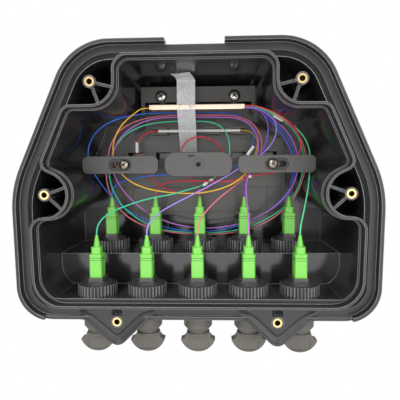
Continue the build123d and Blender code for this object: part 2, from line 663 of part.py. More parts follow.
def pan_screw(head, head_height, shank, length):
    """Screw along Y with its head's underside at depth 0 and the head to the front."""
    cap = fillet(Cylinder(head / 2, head_height).edges().sort_by(Axis.Z)[-1], 0.45 * head_height)
    cap = Pos(0, -head_height / 2, 0) * Rot(90, 0, 0) * cap
    return cap + post(0, 0, shank, -0.2, length)


def arm_screw_places():
    return [(ARM_MIDDLE_X + side * ARM_SCREW_X, ARM_Z) for side in (-1, 1)]


def make_arm(side):
    """Slotted fibre retaining arm, slid outwards from its screw."""
    width, height, thick = ARM
    x = arm_screw_places()[(side + 1) // 2][0] + side * ARM_SHIFT
    back = ARM_Y + thick
    arm = round_bar((width, height), ARM_CORNER, back, thick)
    slot = round_bar(ARM_SLOT, ARM_SLOT[1] / 2 - 0.01, ARM_Y + ARM_SLOT_DEPTH, 2 * thick)
    through = round_bar(SLOT_THROUGH, SLOT_THROUGH[1] / 2 - 0.01, back + 1, 3 * thick)
    arm = arm - slot - through
    for mark in (-1, 1):
        arm -= post(mark * (width / 2 - 11.5), 0, 5.6, ARM_Y - 1, ARM_Y + 0.3)
    return Pos(x, 0, ARM_Z) * arm


def make_retainer():
    width, height, thick = RETAINER
    plate = round_bar((width, height), RETAINER_CORNER, ARM_Y + thick, thick)
    plate = fillet(plate.faces().sort_by(Axis.Y)[0].edges(), 0.6)
    plate -= post(0, 0, RETAINER_RING, ARM_Y - 1, ARM_Y + 0.7)
    plate -= post(0, 0, RETAINER_HOLE, ARM_Y - 1, ARM_Y + thick + 1)
    slot = box_between((-6.6, ARM_Y - 1, height / 2 - 3.0), (-2.6, ARM_Y + thick + 1, height / 2 - 1.9))
    plate -= slot
    return Pos(0, 0, ARM_Z) * plate


def make_tray():
    """Splice tray: a plate with a sleeve comb, arm pillars and a raised fixing bar."""
    wide, neck = TRAY_HALF, TRAY_NECK_HALF
    half = [
        (wide, TRAY_BOTTOM, 3.0),
        (wide, TRAY_NECK_Z - 14.0, 3.0),
        (neck, TRAY_NECK_Z, 3.0),
        (neck, TRAY_TOP, 2.0),
    ]
    tray = slab(outline(mirrored(half), TRAY_Y), TRAY_Y + TRAY)
    step_top, step_low = 30.0, 8.0
    step = round_bar((2 * wide - 3.0, step_top - step_low), 2.0, TRAY_Y + 0.5, 2.5)
    tray += Pos(0, 0, (step_top + step_low) / 2) * step
    for x in (-47.0, -26.0, 30.0, 51.0):
        tray -= box_between((x - 6, TRAY_Y - 3, 15.0), (x + 6, TRAY_Y + 3, 20.5))

    comb_x, comb_y, comb_z = SLEEVE_AT
    comb_front = comb_y - SLEEVE / 2 - 0.6
    for i in range(4):
        x = comb_x - TRAY_X + (i - 1.5) * 18.9
        for side in (-1, 1):
            z = comb_z + side * (SLEEVE / 2 + COMB_GAP + 0.6)
            tray += box_between((x - 5.4, comb_front, z - 0.6), (x + 5.4, TRAY_Y + 0.5, z + 0.6))
        rest = comb_y + SLEEVE / 2
        seat = SLEEVE / 2 + COMB_GAP + 0.3
        tray += box_between((x - 1, rest, comb_z - seat), (x + 1, TRAY_Y + 0.5, comb_z + seat))

    for x, z, length, height in (
        (0.0, -6.0, 2 * wide - 8, 0.9), (0.0, TRAY_BOTTOM + 2, 2 * wide - 8, 0.9),
        (-24.5, -14.0, 0.9, 20.0), (27.5, -14.0, 0.9, 20.0), (50.0, -14.0, 0.9, 20.0),
        (-50.0, -14.0, 0.9, 20.0), (0.0, 46.0, 64.0, 0.9),
    ):
        tray += box_between(
            (x - length / 2, TRAY_Y - 1.0, z - height / 2),
            (x + length / 2, TRAY_Y + 0.5, z + height / 2),
        )
    tray = Pos(TRAY_X, 0, 0) * tray

    bar_width, bar_low, bar_high, bar_thick = BAR
    bar = box_between(
        (TRAY_X - bar_width / 2, BAR_Y, bar_low), (TRAY_X + bar_width / 2, BAR_Y + bar_thick, bar_high)
    )
    tray += bar
    for side in (-1, 1):
        edge = TRAY_X + side * (bar_width / 2)
        inner = edge - side * 2.4
        tray += box_between(
            (min(edge, inner), BAR_Y + 0.5, TRAY_TOP - 6), (max(edge, inner), TRAY_Y + 0.5, bar_high)
        )
    for x in (-TRAY_SCREW_X, TRAY_SCREW_X):
        tray -= post(TRAY_X + x, TRAY_SCREW_Z, TRAY_SCREW + 0.4, BAR_Y - 1, BAR_Y + bar_thick + 1)

    back = ARM_Y + ARM[2]
    for x, z in arm_screw_places():
        tray += post(x, z, PILLAR, back, TRAY_Y + 0.5)
        tray -= post(x, z, SCREW + 0.2, back - 1, back + SCREW_LENGTH)
    tray += post(0, ARM_Z, PILLAR + 2.0, back, TRAY_Y + 0.5)
    tray -= post(0, ARM_Z, 2.6, back - 1, back + SCREW_LENGTH)
    return tray


def make_splitter():
    """Flat steel tube with a short boot at each end, its seven millimetres front to back."""
    x, y, z = SPLITTER_AT
    length, deep, tall = SPLITTER
    tube = fillet(Box(length, deep, tall).edges().filter_by(Axis.X), 0.8)
    for side in (-1, 1):
        boot = Box(2 * SPLITTER_BOOT, deep - 0.8, tall - 1.2)
        tube += Pos(side * length / 2, 0, 0) * boot
    return Pos(x, y, z) * tube


def make_sleeve():
    x, y, z = SLEEVE_AT
    return Pos(x, y, z) * Cylinder(SLEEVE / 2, SLEEVE_LENGTH, rotation=(0, 90, 0))


def make_tape():
    """Clear film from the top wall, over the splitter and down to the tray."""
    width, thick = TAPE
    front = SPLITTER_AT[1] - SPLITTER[1] / 2
    over = SPLITTER_AT[2] + SPLITTER[2] / 2
    under = SPLITTER_AT[2] - SPLITTER[2] / 2
    roof = RIM_TOP - CREST_TOP_INSET - CREST / 2 - LEDGE - 1.4
    centre = [(front + 3.0, roof), (front - 0.1, roof - 2.0), (front - 0.1, under), (-22.0, 19.6)]
    near = [(y, z) for y, z in centre]
    far = [(y - thick, z) for y, z in reversed(centre)]
    face = Plane.YZ * make_face(Polyline(*near, *far, close=True))
    film = extrude(face, amount=width / 2, both=True)
    return Pos(TAPE_X, 0, 0) * film


def connector_tip(number):
    """Where the fibre leaves the boot of a connector."""
    x, y, z = port_places()[number - 1]
    return x, y, z + PLUG_START + PLUG_HEIGHT + GRIP_HEIGHT + BOOT_HEIGHT


def route_ends(name):
    """The points that a fibre starts through, and those that it ends through."""
    x, y, z = SPLITTER_AT
    reach = SPLITTER[0] / 2 + SPLITTER_BOOT
    sleeve_x, sleeve_y, sleeve_z = SLEEVE_AT
    if name == "splitter_lead":
        return [(x - reach, y, z)], [(sleeve_x + SLEEVE_LENGTH / 2, sleeve_y, sleeve_z)]
    tip = connector_tip(int(name.split("_")[1]))
    start = [tip, (tip[0], tip[1], tip[2] + FIBRE_EXIT)]
    if name not in SPLITTER_SLOTS:
        return start, [(sleeve_x - SLEEVE_LENGTH / 2, sleeve_y, sleeve_z)]
    column, row = SPLITTER_SLOTS[name]
    y += column * FIBRE_PITCH
    z += row * FIBRE_PITCH / 2
    return start, [(x + reach + FIBRE_STRAIGHT, y, z), (x + reach, y, z)]


def make_fibre(name):
    """A fibre of straight runs, joined by arcs as large as the runs allow."""
    start, end = route_ends(name)
    points = [Vector(*point) for point in start + ROUTES[name] + end]
    radii = []
    for before, here, after in zip(points, points[1:], points[2:]):
        into, out = here - before, after - here
        half_turn = radians(into.get_angle(out)) / 2
        radii.append(0.45 * min(into.length, out.length) / tan(half_turn))
    path = FilletPolyline(*points, radius=radii)
    round_area = pi * FIBRE**2 / 4
    across = sqrt(2 * round_area / (FIBRE_SIDES * sin(2 * pi / FIBRE_SIDES)))
    section = Plane(points[0], z_dir=points[1] - points[0]) * RegularPolygon(across, FIBRE_SIDES)
    fibre = sweep(section, path=path)
    share = fibre.volume / (round_area * path.length)
    print(f"{name}: {path.length:.0f} mm, least radius {min(radii):.1f} mm, volume {share:.4f}")
    return fibre


def group(shape, places):
    """The same loose piece at several places, kept as separate solids."""
    return Compound(children=[Pos(*place) * shape for place in places])


parts["housing"] = make_housing()
parts["cover_inserts"] = group(make_insert(), [(x, LAND_Y, z) for x, z in insert_places()])
parts["adapter_nuts"] = group(make_nut(), port_places())
parts["adapter_seals"] = group(make_seal(), port_places())
adapter, cap, connector = make_adapter(), make_cap(), make_connector()
for number, place in enumerate(port_places(), 1):
    parts[f"adapter_{number}"] = Pos(*place) * adapter
    parts[f"dust_cap_{number}"] = Pos(*place) * cap
    parts[f"connector_{number}"] = Pos(*place) * connector
parts["splice_tray"] = make_tray()
parts["left_arm"] = make_arm(-1)
parts["right_arm"] = make_arm(1)
parts["centre_retainer"] = make_retainer()
arm_screw = pan_screw(SCREW_HEAD, SCREW_HEAD_HEIGHT, SCREW, SCREW_LENGTH)
arm_screw_y = ARM_Y + ARM_SLOT_DEPTH
parts["arm_screws"] = group(arm_screw, [(x, arm_screw_y, z) for x, z in arm_screw_places()])
tray_screw = pan_screw(
    TRAY_SCREW_HEAD, TRAY_SCREW_HEAD_HEIGHT, TRAY_SCREW, TRAY_SCREW_LENGTH
)
tray_screw_x = (TRAY_X - TRAY_SCREW_X, TRAY_X + TRAY_SCREW_X)
parts["tray_screws"] = group(tray_screw, [(x, BAR_Y, TRAY_SCREW_Z) for x in tray_screw_x])
parts["splitter"] = make_splitter()
parts["splice_sleeve"] = make_sleeve()
parts["tape"] = make_tape()
for name in ROUTES:
    parts[name] = make_fibre(name)

os.makedirs("parts", exist_ok=True)
for name, shape in parts.items():
    export_step(shape, f"parts/{name}.step")
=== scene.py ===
import bpy
import math
from mathutils import Matrix, Vector


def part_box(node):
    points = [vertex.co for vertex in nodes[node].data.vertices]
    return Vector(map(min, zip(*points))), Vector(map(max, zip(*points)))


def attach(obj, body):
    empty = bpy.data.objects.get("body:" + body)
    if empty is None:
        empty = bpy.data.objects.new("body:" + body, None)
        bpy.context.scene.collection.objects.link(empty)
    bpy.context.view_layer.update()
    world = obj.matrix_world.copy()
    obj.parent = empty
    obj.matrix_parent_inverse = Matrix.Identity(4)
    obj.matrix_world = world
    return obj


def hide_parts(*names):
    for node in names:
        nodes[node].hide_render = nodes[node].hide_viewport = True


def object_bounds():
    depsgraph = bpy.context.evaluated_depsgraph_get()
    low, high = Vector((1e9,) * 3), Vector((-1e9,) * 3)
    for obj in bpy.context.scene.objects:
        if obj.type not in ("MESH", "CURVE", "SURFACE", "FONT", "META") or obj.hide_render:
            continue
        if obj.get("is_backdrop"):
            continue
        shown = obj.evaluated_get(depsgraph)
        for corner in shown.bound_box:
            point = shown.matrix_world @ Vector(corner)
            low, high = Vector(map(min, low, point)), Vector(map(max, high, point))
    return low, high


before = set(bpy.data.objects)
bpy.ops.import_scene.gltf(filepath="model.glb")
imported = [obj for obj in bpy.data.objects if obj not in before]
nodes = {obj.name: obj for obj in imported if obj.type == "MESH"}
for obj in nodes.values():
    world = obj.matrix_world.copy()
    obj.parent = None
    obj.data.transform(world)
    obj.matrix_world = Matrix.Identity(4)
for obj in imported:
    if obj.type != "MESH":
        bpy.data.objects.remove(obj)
start_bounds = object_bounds()
MM = 0.001

# The fibres' control points in millimetres, the same as the solid model's
ROUTES = {
    "pigtail_1": [
        (-62, -72, -31.9), (-62, -72, -27.4), (-59.6, -69, -22.2), (-54.8, -64, -18.4),
        (-47.7, -58.5, -15.5), (-38.3, -53, -12.4), (-28, -49, -10.1), (-18.1, -46, -8.7),
        (-8.1, -43, -5.9), (2.3, -41, -3.1), (11.4, -39, 2.6), (17.6, -38.7, 9.4),
        (20.8, -38.7, 16.8), (20.9, -36.4, 25), (19.1, -34, 32.6), (14.3, -32.3, 38.3),
        (6.1, -31.7, 41), (-5.2, -28.7, 41.4), (-17.8, -28.7, 41.6), (-30.1, -28.9, 40.8),
        (-40.9, -29.7, 38.5), (-51.2, -31.6, 33.1), (-58.4, -34.7, 24.5), (-61.5, -37.7, 14.8),
        (-62.3, -37.7, 5.2), (-61.2, -36.5, -3.2), (-58.5, -32, -12.6), (-53.1, -25.3, -21.8),
        (-43.2, -24.1, -29.3), (-30.9, -24, -35.2), (-15, -22.5, -37.7), (2.5, -22.5, -38.6),
        (20, -22.5, -37.6), (35.8, -24.1, -33.9), (49.3, -24.2, -27.3), (59.4, -26, -20),
        (65.3, -29.5, -11.9), (68.5, -35.7, -3.3), (70.1, -38.7, 6.3), (70.3, -38.7, 16.4),
        (69.1, -35.9, 25.9), (64.8, -33.4, 34.2), (57.1, -39, 39.6), (49.3, -42, 43.2),
        (42.4, -41.5, 47), (37, -41.2, 49.6), (30.3, -41.2, 49.6),
    ],
    "pigtail_2": [
        (-31, -72, -31.9), (-31, -72, -27.4), (-28.5, -68.5, -22.7), (-23.9, -63, -18.6),
        (-16.3, -57, -14.4), (-6.2, -52.5, -9.6), (4.5, -50, -4.3), (14.6, -48.5, 1.2),
        (23.9, -47.6, 6.7), (33.1, -47.2, 12.2), (41.6, -47, 17.4), (48.4, -45, 24.2),
        (51.9, -43, 32.2), (51, -42, 39.8), (44.6, -43, 45.1), (37, -44.8, 48.4),
        (30.3, -44.8, 48.4),
    ],
    "pigtail_3": [
        (0, -72, -31.9), (0, -72, -27.4), (1.8, -68.5, -22.4), (5.4, -62.5, -17.8),
        (11.1, -56, -12.4), (18, -49, -7.4), (25.9, -41, -2.1), (33, -36, 3.8),
        (38.5, -35.2, 10.3), (41.8, -36, 17.4), (43.2, -35.5, 24.8), (41.3, -33.5, 33.1),
        (36.1, -31, 40.2), (27.5, -30.7, 44.1), (15.8, -30.7, 45.3), (2.6, -30.7, 45.4),
        (-10.8, -27.7, 46), (-24.2, -27.7, 45.7), (-36.9, -27.7, 44.2), (-48.3, -27.9, 41),
        (-57.2, -30.1, 34.8), (-61.9, -33.2, 25.9), (-63.5, -36.7, 15.8), (-64.7, -36.7, 5.8),
        (-64.8, -33, -3.7), (-62.7, -28.4, -13.2), (-57.7, -24.1, -22.3), (-48.9, -23.1, -29.4),
        (-36.9, -23, -34.8), (-22.3, -23, -37.8), (-6.3, -21.5, -39.5), (11.3, -21.5, -39.6),
        (28.7, -22, -37.7), (43.8, -23.1, -32.6), (55.7, -24.4, -25.2), (64, -29.2, -15.8),
        (69.2, -33.9, -5.4), (71.7, -37.7, 5.6), (72.2, -37.7, 16.4), (70.4, -34.7, 26.6),
        (64.6, -36, 35), (56.3, -43.5, 40.1), (48.7, -46.5, 43.8), (42.5, -44.2, 47.4),
        (37, -42.4, 49.6), (30.3, -42.4, 49.6),
    ],
    "pigtail_4": [
        (31, -72, -31.9), (31, -72, -27.4), (31.1, -69, -22.4), (31.3, -63.5, -17.8),
        (31.1, -57.5, -12.3), (30.7, -52, -5.9), (31.8, -46, 1.3), (35, -44.5, 8.9),
        (38.7, -44, 16.5), (40.2, -41.5, 24.5), (38.8, -37.5, 32.5), (34.2, -33.5, 39.3),
        (26.1, -32, 43.1), (14.4, -33.4, 43.6), (2, -33.4, 43.7), (-10.6, -30.4, 44.2),
        (-23.2, -30.4, 44.2), (-35.1, -30.4, 42.8), (-45.2, -31.3, 38.7), (-53.6, -33.6, 32),
        (-58.3, -36.8, 23.3), (-59.7, -39.4, 14), (-58.8, -39.4, 4.8), (-55, -35.5, -4),
        (-49.7, -31.6, -12), (-42.4, -27.9, -19.8), (-31.9, -25.9, -26.6), (-18.3, -25.8, -31.7),
        (-3.1, -25.7, -34.3), (12, -25.8, -34.3), (27, -25.8, -31.8), (40.6, -26.1, -26.7),
        (51.4, -29.6, -20), (59.3, -34, -11.6), (64.4, -37.7, -2.5), (66.4, -40.4, 7),
        (66.3, -40.4, 16.7), (64.1, -37.6, 25.8), (59.1, -35.1, 34.1), (52.2, -33.4, 40.8),
        (44.5, -38, 45.3), (37, -41.2, 48.4), (30.3, -41.2, 48.4),
    ],
    "pigtail_5": [
        (62, -72, -31.9), (62, -72, -27.4), (64.3, -68, -21.1), (66.7, -64, -13.2),
        (69.2, -59.5, -4.8), (71.6, -51.2, 1.9), (73.6, -45, 9), (73.7, -44, 18.5),
        (71.2, -42, 27.2), (65.8, -42, 34.1), (58.2, -46, 39.3), (50, -49, 43.1),
        (42.6, -45.8, 46.9), (37, -43.6, 49.6), (30.3, -43.6, 49.6),
    ],
    "pigtail_6": [
        (-62, -32.6, -11.3), (-62, -32.6, -6.8), (-58.5, -34.2, -2.1), (-50.8, -37, 0.7),
        (-40.5, -39.5, 3), (-30.1, -40, 4.3), (-20, -38.5, 4.5), (-9.1, -37, 3.9),
        (1.8, -36, 3.8), (12.1, -36, 5), (21.7, -36, 8), (29.6, -36, 13.4),
        (35.1, -35, 20.5), (37.9, -32.5, 28.8), (36.9, -30.1, 36.9), (31.4, -29, 43.2),
        (22.7, -29, 46.3), (11.6, -29, 47.2), (-0.3, -26, 47.7), (-12.3, -26, 47.9),
        (-24.1, -28.5, 47.5), (-35.3, -33, 46.8), (-45.4, -38.5, 44.8), (-53.7, -47, 41.5),
        (-62.9, -45.5, 37.8), (-70.9, -41, 32.3), (-75.7, -39, 24.7), (-76.1, -40, 16.2),
        (-73.1, -40.5, 7.3), (-68.5, -37.5, -1), (-65, -27.5, -10), (-57.3, -24, -18.3),
        (-47.2, -22, -25.5), (-34.9, -21.4, -31.5), (-21, -21.3, -35.6), (-5.6, -21.3, -37.5),
        (10.5, -21.3, -37.2), (25.8, -21.4, -34.2), (39.6, -21.5, -28.4), (50.9, -25.2, -20.4),
        (59.9, -28.5, -11.3), (65, -30.5, -1.4), (66.5, -35, 8.7), (65.6, -35.6, 18.5),
        (62.2, -32.8, 27.5), (56.4, -30.4, 35.6), (49.2, -33, 42.5), (42.2, -37.5, 47.2),
        (37, -40, 49.6), (30.3, -40, 49.6),
    ],
    "pigtail_7": [
        (-31, -32.6, -11.3), (-31, -32.6, -6.8), (-27.2, -34.5, -2.4), (-20.2, -37, -0.6),
        (-11.4, -40, 0.1), (-2, -42.5, 0.3), (7.4, -43.5, -0.2), (16.1, -43.5, -0.6),
        (24.8, -43, 0.6), (33.2, -42, 2.9), (41.9, -42, 4.3), (50.9, -42, 5.1),
        (58.8, -42, 8.1), (65.1, -42, 13.7), (68.4, -40.5, 21.3), (67.6, -41, 29.2),
        (62.8, -45, 35.8), (56.2, -49.5, 40.2), (48.9, -52, 43.9), (42.3, -48.4, 47.3),
        (37, -44.8, 49.6), (30.3, -44.8, 49.6),
    ],
    "pigtail_8": [
        (0, -32.6, -11.3), (0, -32.6, -6.8), (-3.6, -32.6, -1.9), (-6.7, -32.6, 3.7),
        (-10.1, -32.5, 9.9), (-13, -32.5, 16.2), (-12.4, -32.5, 23.1), (-7.7, -34, 28.1),
        (-0.8, -34.5, 30.4), (6.7, -32.5, 29.4), (12.9, -30.5, 25.4), (16.7, -31, 19.1),
        (17.4, -32.5, 11.5), (14.6, -33, 3.9), (9, -33, -2.7), (1.6, -31, -7.3),
        (-7, -30, -9.3), (-15.4, -30, -8.7), (-23.9, -30, -5.8), (-31.7, -30, -1.2),
        (-37.6, -30, 5.2), (-41.9, -29, 13.3), (-44.6, -27, 20.5), (-45.1, -24, 27.4),
        (-41.5, -21, 32.5), (-36.1, -19.6, 35.6), (-30.1, -19.6, 35.6),
    ],
    "pigtail_9": [
        (31, -32.6, -11.3), (31, -32.6, -6.8), (31.7, -35.4, -2), (33.5, -38.8, 3.8),
        (36.7, -40.5, 10.2), (41, -41, 16.9), (44.6, -41, 24.2), (46.6, -40.7, 32.1),
        (46, -41, 39.8), (41.9, -42.4, 45.3), (37, -43.6, 48.4), (30.3, -43.6, 48.4),
    ],
    "pigtail_10": [
        (62, -32.6, -11.3), (62, -32.6, -6.8), (62.9, -34.5, -2.3), (63.7, -36.5, 3.3),
        (64.1, -38.5, 9.7), (62.5, -41.4, 17), (59.8, -39.1, 24.5), (55.5, -36.7, 32),
        (49.9, -37, 39.1), (43.2, -40.5, 44.7), (37, -42.4, 48.4), (30.3, -42.4, 48.4),
    ],
    "splitter_lead": [
        (-32.3, -42.5, 49), (-38, -42.3, 49), (-42.9, -42.2, 45.7), (-49.7, -42.5, 40.3),
        (-55.3, -41.5, 33.5), (-58.1, -42.5, 24.7), (-57.8, -43.5, 15.3), (-53.8, -44, 6.9),
        (-47.3, -43.5, 0.4), (-38.7, -42.5, -3.9), (-28.6, -42, -6.5), (-17.7, -42, -7.9),
        (-6.8, -43, -8.4), (4, -45, -7.6), (14.1, -45.5, -5.4), (23.4, -45.5, -1.5),
        (30.7, -44.5, 4), (34.6, -41.5, 9.9), (37.9, -36.5, 16.4), (40.1, -31, 23),
        (40.8, -25.8, 29.6), (35, -20.2, 35.8), (28.9, -19.6, 35.6),
    ],
}

FIBRE_RADIUS = 0.45 * MM
FIBRE_COLOURS = {
    "pigtail_1": (0.06, 0.62, 0.36), "pigtail_2": (0.38, 0.26, 0.86),
    "pigtail_3": (0.86, 0.20, 0.26), "pigtail_4": (0.50, 0.16, 0.62),
    "pigtail_5": (0.12, 0.80, 0.36), "pigtail_6": (0.03, 0.17, 0.78),
    "pigtail_7": (0.78, 0.03, 0.06), "pigtail_8": (0.74, 0.02, 0.05),
    "pigtail_9": (0.22, 0.08, 0.58), "pigtail_10": (0.10, 0.10, 0.70),
    "splitter_lead": (0.88, 0.50, 0.03),
}

# White flags on the fibres: route, point and share of the run that they sit at, length in mm
FLAGS = [
    ("pigtail_8", 22, 0.45, 8.0), ("pigtail_6", 11, 1.0, 7.5), ("pigtail_1", 42, 0.55, 7.5),
    ("pigtail_1", 9, 0.20, 3.6), ("pigtail_1", 9, 0.62, 3.0), ("pigtail_7", 9, 0.10, 2.2),
]
FLAG_WIDTH = 1.9 * MM
FLAG_THICKNESS = 1.1 * MM
FLAG_ROUNDING = 0.25 * MM

# Clear tape, in mm: its left edge and width, and the depth and height that it runs through
TAPE_LEFT = -14.0
TAPE_WIDTH = 12.0
TAPE_PATH = [
    (-58.0, 68.6), (-53.0, 68.4), (-48.5, 67.9), (-45.9, 66.2), (-46.1, 60.0), (-46.1, 55.0),
    (-46.1, 51.0), (-46.1, 47.0), (-41.2, 41.4), (-36.4, 35.9), (-31.6, 30.5), (-26.8, 25.1),
    (-22.1, 19.8),
]
TAPE_COLUMNS = 24
ROWS_PER_SPAN = 10
LOOSE_ROWS = 30
FOLDED_ROWS = 34
TAPE_GAP = 0.22
WAVE_DEPTH = 0.14
FOLD_DEPTH = 0.3
LOOSE_LEAN = 2.6
LOOSE_DROOP = 0.7

# The two port rows, in mm: pitch, middle of the front row, and the way from it to the rear row
PORT_PITCH = 31.0
FRONT_ROW_Y = -72.0
ROW_GAP = 39.4
ROW_RISE = 20.6
# Connector grips: levels and half widths of the lines of painted shade for their grooves
GRIP_LINES_Z = -47.2
GRIP_LINES = [(1.9, 0.28), (0.5, 0.22)]
GRIP_SHADE_GREEN = (0.06, 0.26, 0.02)
# Nut knurls: radii of the painted shade in the grooves and of the painted highlight on the ridge tips
NUT_GROOVE_RADIUS = 11.38
NUT_GROOVE_HALF = 0.14
NUT_TIP_RADIUS = 11.68
GROOVE_PAINTED_SHADE = (0.004, 0.004, 0.004)
TIP_PAINTED_HIGHLIGHT = (0.12, 0.12, 0.13)

# The slots in the two arms, in mm: middle and half size across and up, and depth of their rims; their floors
# get painted shade
SLOT_X, SLOT_HALF_X = 51.0, 8.1
SLOT_Z, SLOT_HALF_Z = 11.2, 4.05
SLOT_RIM_Y = -51.0
SLOT_SHADE_BROWN = (0.012, 0.010, 0.009)

# Where the base's finish goes from satin on the rim to polished in the cavity
RIM_Y, CAVITY_Y = -85.0 * MM, -70.0 * MM
RIM_ROUGH, CAVITY_ROUGH = 0.40, 0.13

# Sockets for colours on a Mix node
MIX_FIRST, MIX_SECOND, MIX_RESULT = 6, 7, 2


def new_material(name):
    material = bpy.data.materials.new(name)
    material.use_nodes = True
    tree = material.node_tree
    return material, tree, tree.nodes["Principled BSDF"]


def noise(tree, scale, detail=3.0, rough=0.55, stretch=(1, 1, 1)):
    coords = tree.nodes.new("ShaderNodeTexCoord")
    mapping = tree.nodes.new("ShaderNodeMapping")
    mapping.inputs["Scale"].default_value = stretch
    texture = tree.nodes.new("ShaderNodeTexNoise")
    texture.inputs["Scale"].default_value = scale
    texture.inputs["Detail"].default_value = detail
    texture.inputs["Roughness"].default_value = rough
    tree.links.new(coords.outputs["Object"], mapping.inputs["Vector"])
    tree.links.new(mapping.outputs["Vector"], texture.inputs["Vector"])
    return texture.outputs["Fac"]


def spread(tree, value, low, high, start=0.0, end=1.0):
    """A value between start and end brought to between low and high."""
    ranged = tree.nodes.new("ShaderNodeMapRange")
    ranged.inputs["From Min"].default_value = start
    ranged.inputs["From Max"].default_value = end
    ranged.inputs["To Min"].default_value = low
    ranged.inputs["To Max"].default_value = high
    tree.links.new(value, ranged.inputs["Value"])
    return ranged.outputs["Result"]


def maths(tree, operation, *values):
    """A Math node on numbers or sockets."""
    node = tree.nodes.new("ShaderNodeMath")
    node.operation = operation
    for slot, value in zip(node.inputs, values):
        if isinstance(value, (int, float)):
            slot.default_value = value
        else:
            tree.links.new(value, slot)
    return node.outputs["Value"]


def blend(tree, mask, first, second):
    """The second colour laid over the first by a mask, each a colour or a socket."""
    mix = tree.nodes.new("ShaderNodeMix")
    mix.data_type = "RGBA"
    tree.links.new(mask, mix.inputs[0])
    for slot, colour in ((MIX_FIRST, first), (MIX_SECOND, second)):
        if isinstance(colour, tuple):
            mix.inputs[slot].default_value = (*colour, 1)
        else:
            tree.links.new(colour, mix.inputs[slot])
    return mix.outputs[MIX_RESULT]


def shades(tree, mask, colour, amount):
    """The colour, uneven by an amount to either side."""
    darker = tuple(c * (1 - amount) for c in colour)
    paler = tuple(min(1, c * (1 + amount)) for c in colour)
    return blend(tree, mask, darker, paler)


def edge_wear_and_highlight(tree, colour, normal, lift, radius):
    """The colour made paler where the surface turns sharply, partly wear and partly a painted highlight, and
    the softened normal.
    """
    soft = tree.nodes.new("ShaderNodeBevel")
    soft.samples = 4
    soft.inputs["Radius"].default_value = radius
    place = tree.nodes.new("ShaderNodeNewGeometry")
    agree = tree.nodes.new("ShaderNodeVectorMath")
    agree.operation = "DOT_PRODUCT"
    tree.links.new(soft.outputs["Normal"], agree.inputs[0])
    tree.links.new(place.outputs["Normal"], agree.inputs[1])
    tree.links.new(soft.outputs["Normal"], normal)
    # Sharp edges lifted towards pale grey: painted highlight along with wear
    mask = spread(tree, agree.outputs["Value"], 0.0, 1.0, start=0.99, end=0.85)
    return blend(tree, mask, colour, (lift, lift, lift))


def raise_grain(tree, shader, relief, height, strength, depth):
    """Fine relief on the shader's normal."""
    relief.inputs["Strength"].default_value = strength
    relief.inputs["Distance"].default_value = depth
    tree.links.new(height, relief.inputs["Height"])
    tree.links.new(relief.outputs["Normal"], shader.inputs["Normal"])


def surface(name, colour, rough, metallic=0.0, grain=900.0, bump=0.04, vary=0.12,
            stretch=(1, 1, 1), edge=0.0):
    """A solid finish with uneven colour and gloss and a fine grain."""
    material, tree, shader = new_material(name)
    broad = noise(tree, 45.0)
    fine = noise(tree, grain, 2.0, 0.5, stretch)
    relief = tree.nodes.new("ShaderNodeBump")
    tint = shades(tree, broad, colour, vary)
    # Sharp edges made paler: painted highlight along with wear
    if edge > 0:
        tint = edge_wear_and_highlight(tree, tint, relief.inputs["Normal"], edge, 0.3 * MM)
    tree.links.new(tint, shader.inputs["Base Color"])
    tree.links.new(spread(tree, broad, rough - 0.05, rough + 0.07), shader.inputs["Roughness"])
    shader.inputs["Metallic"].default_value = metallic
    raise_grain(tree, shader, relief, fine, bump, 0.2 * MM)
    return material


def housing_finish():
    """Black moulding, satin on the rim and polished down in the cavity, with edges paler by painted
    highlight and wear.
    """
    material, tree, shader = new_material("housing black")
    broad = noise(tree, 30.0)
    fine = noise(tree, 1500.0, 2.0)
    relief = tree.nodes.new("ShaderNodeBump")
    tint = shades(tree, broad, (0.020, 0.0197, 0.0197), 0.2)
    # Edges made paler: painted highlight along with wear
    tint = edge_wear_and_highlight(tree, tint, relief.inputs["Normal"], 0.42, 0.6 * MM)
    tree.links.new(tint, shader.inputs["Base Color"])
    place = tree.nodes.new("ShaderNodeNewGeometry")
    split = tree.nodes.new("ShaderNodeSeparateXYZ")
    tree.links.new(place.outputs["Position"], split.inputs["Vector"])
    depth = spread(tree, split.outputs["Y"], RIM_ROUGH, CAVITY_ROUGH, RIM_Y, CAVITY_Y)
    cloud = spread(tree, broad, -0.03, 0.05)
    tree.links.new(maths(tree, "ADD", depth, cloud), shader.inputs["Roughness"])
    raise_grain(tree, shader, relief, fine, 0.05, 0.2 * MM)
    return material


def clear_finish(name, colour, see_through, rough, crinkle):
    """Cloudy plastic that lets part of the light straight through."""
    material, tree, shader = new_material(name)
    cloud = noise(tree, 160.0, 4.0, 0.6)
    fine = noise(tree, 420.0, 4.0, 0.6)
    tree.links.new(shades(tree, cloud, colour, 0.15), shader.inputs["Base Color"])
    tree.links.new(spread(tree, cloud, rough, rough + 0.15), shader.inputs["Roughness"])
    cover = spread(tree, fine, 0.85 - see_through, 1.15 - see_through)
    tree.links.new(cover, shader.inputs["Alpha"])
    relief = tree.nodes.new("ShaderNodeBump")
    raise_grain(tree, shader, relief, fine, crinkle, 0.6 * MM)
    return material


def axes(tree):
    """The three coordinates on the piece."""
    coords = tree.nodes.new("ShaderNodeTexCoord")
    split = tree.nodes.new("ShaderNodeSeparateXYZ")
    tree.links.new(coords.outputs["Object"], split.inputs["Vector"])
    return split.outputs


def repeated(tree, axis, start, pitch):
    """Millimetres along an axis past the start of each repeat."""
    scaled = maths(tree, "MULTIPLY_ADD", axes(tree)[axis], 1 / MM, -start)
    return maths(tree, "FLOORED_MODULO", scaled, pitch)


def recolour(material, mask, colour):
    """Another colour laid over a finish where the mask is one."""
    tree = material.node_tree
    base = tree.nodes["Principled BSDF"].inputs["Base Color"]
    tree.links.new(blend(tree, mask, base.links[0].from_socket, colour), base)


